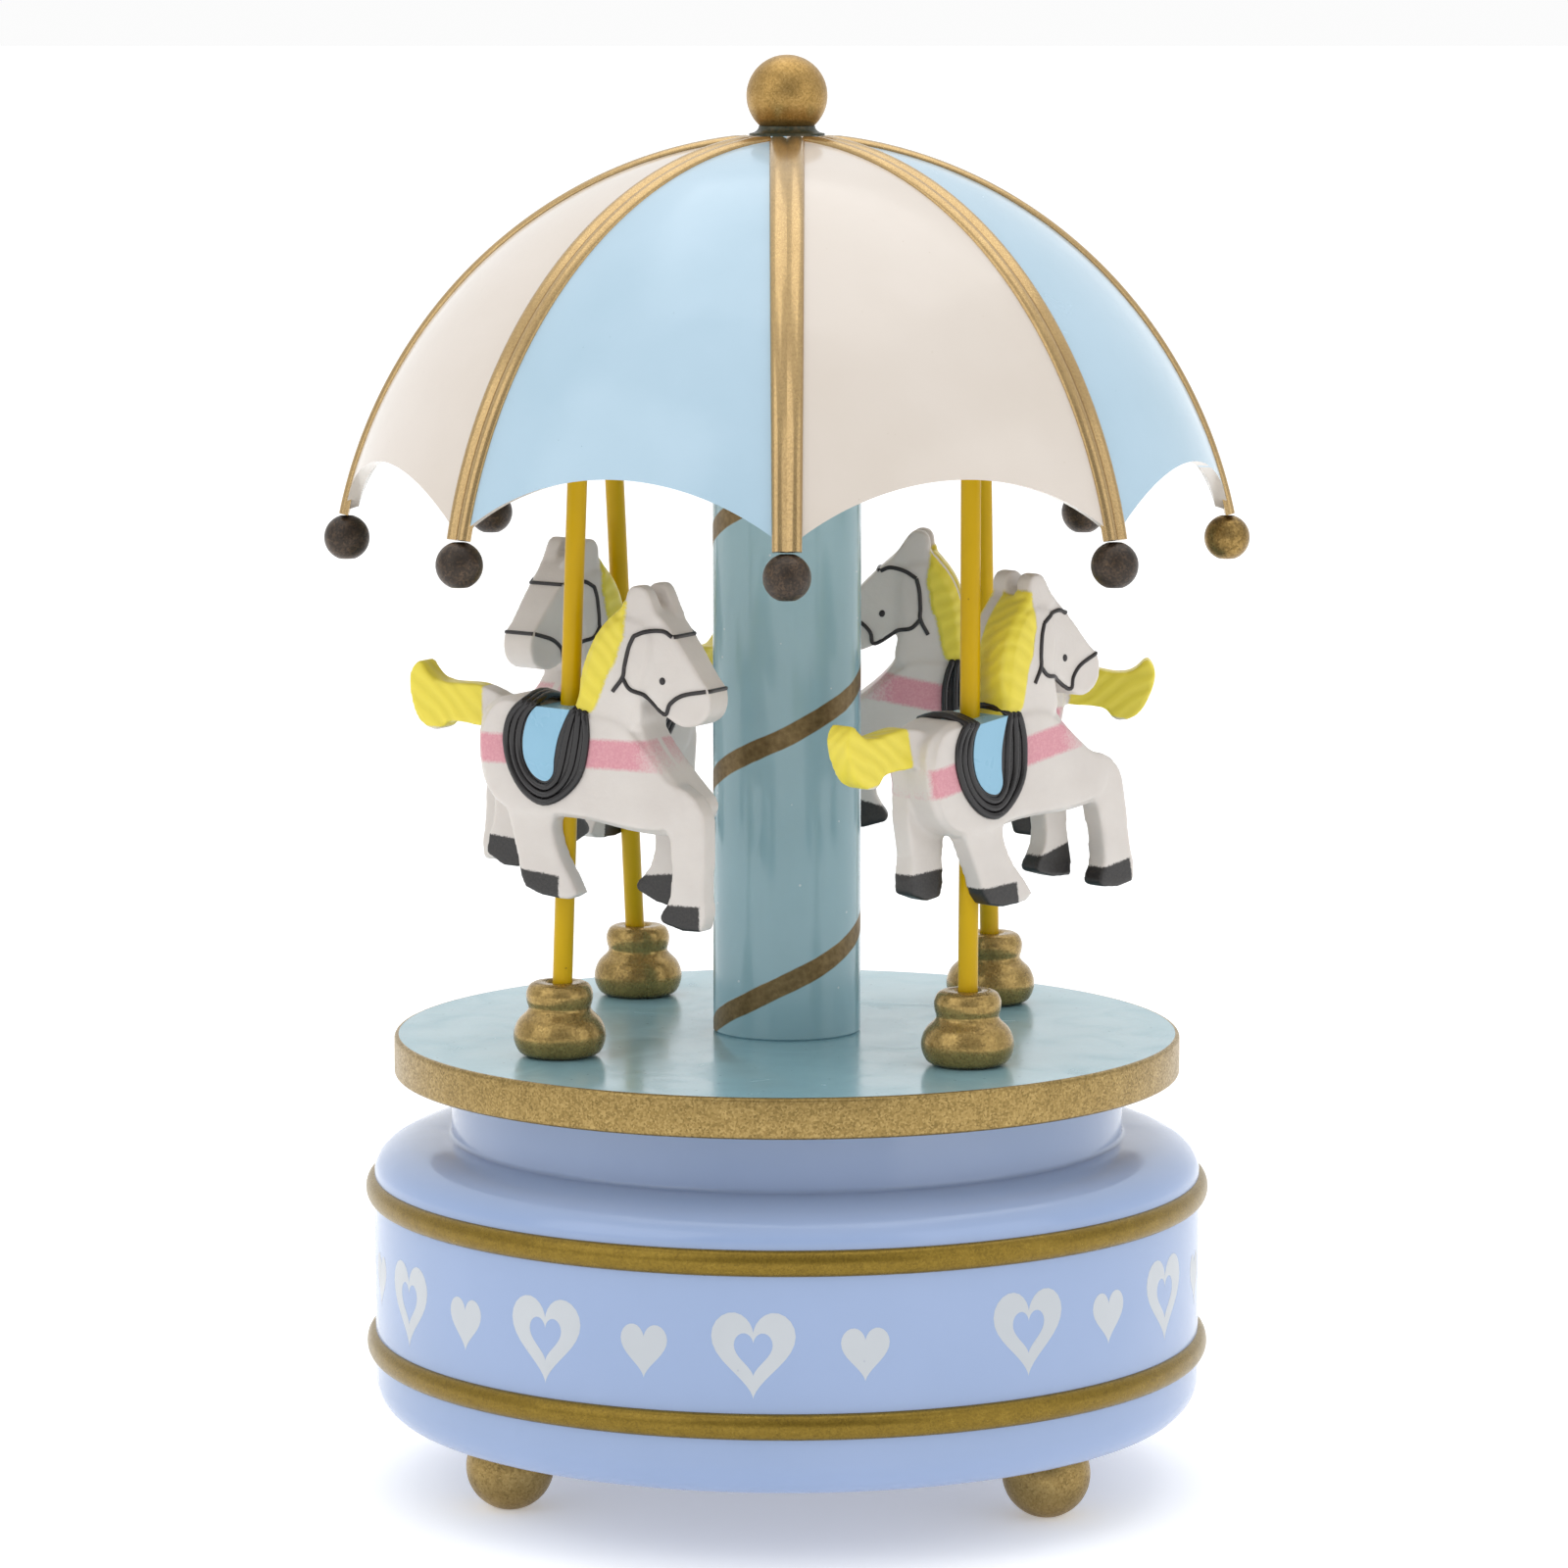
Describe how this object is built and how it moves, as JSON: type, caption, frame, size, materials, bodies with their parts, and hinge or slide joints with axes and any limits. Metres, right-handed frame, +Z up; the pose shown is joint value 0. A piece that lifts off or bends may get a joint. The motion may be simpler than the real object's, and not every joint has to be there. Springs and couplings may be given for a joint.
{
  "type": "carousel music box",
  "caption": "Wind-up music box: a turntable with galloping horses on poles under a ribbed scalloped canopy turns on a round base that holds the movement.",
  "frame": {"origin": "on the table, under the centre of the round base", "axes": "+Z up along the turntable's axis; -Y is the front of the base, +X to its right"},
  "size_m": [0.116, 0.116, 0.18],
  "materials": {
    "base_plastic": "moulded gloss plastic with two raised gold-painted bands and pale printed hearts",
    "cover_plastic": "moulded matt plastic",
    "foot_wood": "turned ball, dark bronze paint",
    "turntable_wood": "turned disc, gloss aqua paint on top and gold speckled edge",
    "column_paint": "gloss dusty blue paint with a gold-brown spiral stripe",
    "plug_wood": "bare turned wood",
    "canopy_plastic": "moulded panels, cream and light blue, gold ribs",
    "bead_wood": "turned bead, dark bronze paint",
    "gold_paint": "turned wood, brushed gold paint",
    "dark_collar": "dark green-black paint",
    "pole_paint": "dowel, gloss yellow paint",
    "horse_plastic": "moulded ivory plastic with hand-painted mane, tail, saddle and bridle",
    "steel": "steel",
    "spring_steel": "blued spring steel",
    "zinc": "die-cast zinc, as cast",
    "brass": "turned and cut brass",
    "screw_steel": "zinc-plated steel",
    "brake_plastic": "moulded nylon"
  },
  "bodies": {
    "base": {"base_shell": "base_plastic", "bottom_cover": "cover_plastic", "cover_screws": "screw_steel", "foot_front_left": "foot_wood", "foot_front_right": "foot_wood", "foot_back": "foot_wood", "foot_screws": "screw_steel", "neck_bush": "brass", "movement_bedplate": "zinc", "movement_screws": "screw_steel", "spring_housing": "steel", "housing_screws": "screw_steel", "mainspring": "spring_steel", "comb": "spring_steel", "comb_screws": "screw_steel", "governor_bracket": "steel", "bracket_screws": "screw_steel"},
    "carousel": {"winding_arbor": "steel", "drive_wheel": "brass", "hub_plate": "steel", "hub_screws": "screw_steel", "turntable": "turntable_wood", "column": "column_paint", "column_foot_plug": "plug_wood", "column_head_plug": "plug_wood", "canopy": "canopy_plastic", "finial_collar": "dark_collar", "finial_ball": "gold_paint", "finial_pin": "steel", "rim_bead_1": "bead_wood", "rim_bead_2": "bead_wood", "rim_bead_3": "bead_wood", "rim_bead_4": "bead_wood", "rim_bead_5": "bead_wood", "rim_bead_6": "bead_wood", "rim_bead_7": "bead_wood", "rim_bead_8": "bead_wood", "pole_1": "pole_paint", "pole_2": "pole_paint", "pole_3": "pole_paint", "pole_4": "pole_paint", "pole_cup_1": "gold_paint", "pole_cup_2": "gold_paint", "pole_cup_3": "gold_paint", "pole_cup_4": "gold_paint", "horse_1": "horse_plastic", "horse_2": "horse_plastic", "horse_3": "horse_plastic", "horse_4": "horse_plastic"},
    "cylinder": {"cylinder_shaft": "steel", "cylinder_pinion": "brass", "music_cylinder": "brass", "cylinder_gear": "brass"},
    "governor": {"governor_shaft": "steel", "governor_pinion": "steel", "worm_wheel": "brass"},
    "air_brake": {"governor_worm": "steel", "air_brake": "brake_plastic"}
  },
  "joints": [
    {"name": "turntable_spin", "type": "hinge", "parent": "base", "child": "carousel", "pos_m": [0, 0, 0.05], "axis": [0, 0, 1], "continuous": true},
    {"name": "cylinder_spin", "type": "hinge", "parent": "base", "child": "cylinder", "pos_m": [0.015, 0, 0.03034], "axis": [1, 0, 0], "continuous": true},
    {"name": "governor_spin", "type": "hinge", "parent": "base", "child": "governor", "pos_m": [0.03, -0.0072, 0.03034], "axis": [1, 0, 0], "continuous": true},
    {"name": "air_brake_spin", "type": "hinge", "parent": "base", "child": "air_brake", "pos_m": [0.0319, -0.0125, 0.03034], "axis": [0, 0, 1], "continuous": true}
  ],
  "couplings": [
    {"joint": "cylinder_spin", "follows": "turntable_spin", "ratio": -3},
    {"joint": "governor_spin", "follows": "turntable_spin", "ratio": 9},
    {"joint": "air_brake_spin", "follows": "turntable_spin", "ratio": 144}
  ]
}
